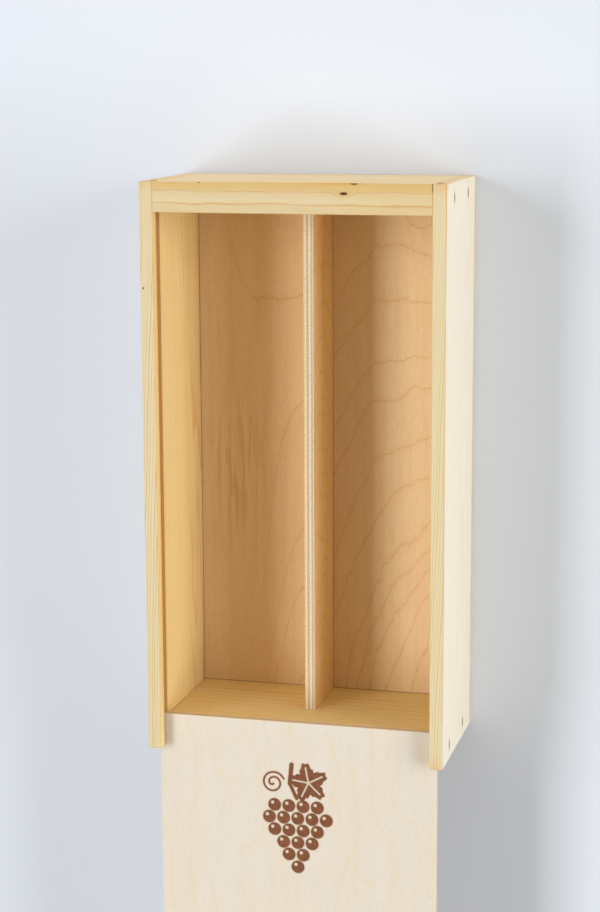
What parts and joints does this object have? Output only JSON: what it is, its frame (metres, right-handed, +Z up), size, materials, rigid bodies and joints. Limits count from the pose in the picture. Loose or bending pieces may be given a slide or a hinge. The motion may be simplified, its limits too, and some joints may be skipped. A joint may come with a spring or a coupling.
{
  "type": "wooden wine box",
  "caption": "Pine wine box with stapled butt joints, a plywood back, a low centre divider and a thin plywood lid that slides in grooves, for bottles, papers or keepsakes.",
  "frame": {"origin": "centre of the box's underside, the outer face of the back panel, on the surface that the box lies on", "axes": "+X to the right side board, +Y along the length to the closed end, +Z up out of the open front; the lid is drawn towards -Y"},
  "size_m": [0.184, 0.661, 0.096],
  "materials": {
    "pine_side": "sanded, unfinished pine",
    "pine_end": "sanded, unfinished pine",
    "back_ply": "sanded rotary-cut plywood",
    "divider_ply": "sanded plywood, its plies showing on the edge",
    "lid_ply": "pale sanded plywood with a burnt motif",
    "staple_steel": "dull galvanised wire"
  },
  "bodies": {
    "box": {"side_left": "pine_side", "side_right": "pine_side", "end_closed": "pine_end", "end_entry": "pine_end", "back_panel": "back_ply", "divider": "divider_ply", "staples_closed_left": "staple_steel", "staples_closed_right": "staple_steel", "staples_entry_left": "staple_steel", "staples_entry_right": "staple_steel", "staples_back_left": "staple_steel", "staples_back_right": "staple_steel", "staples_back_closed": "staple_steel", "staples_back_entry": "staple_steel", "staples_back_divider": "staple_steel"},
    "lid": {"lid": "lid_ply"}
  },
  "joints": [
    {"name": "lid_slide", "type": "slide", "parent": "box", "child": "lid", "axis": [0, -1, 0], "range_m": [-0.314, 0.016]}
  ]
}
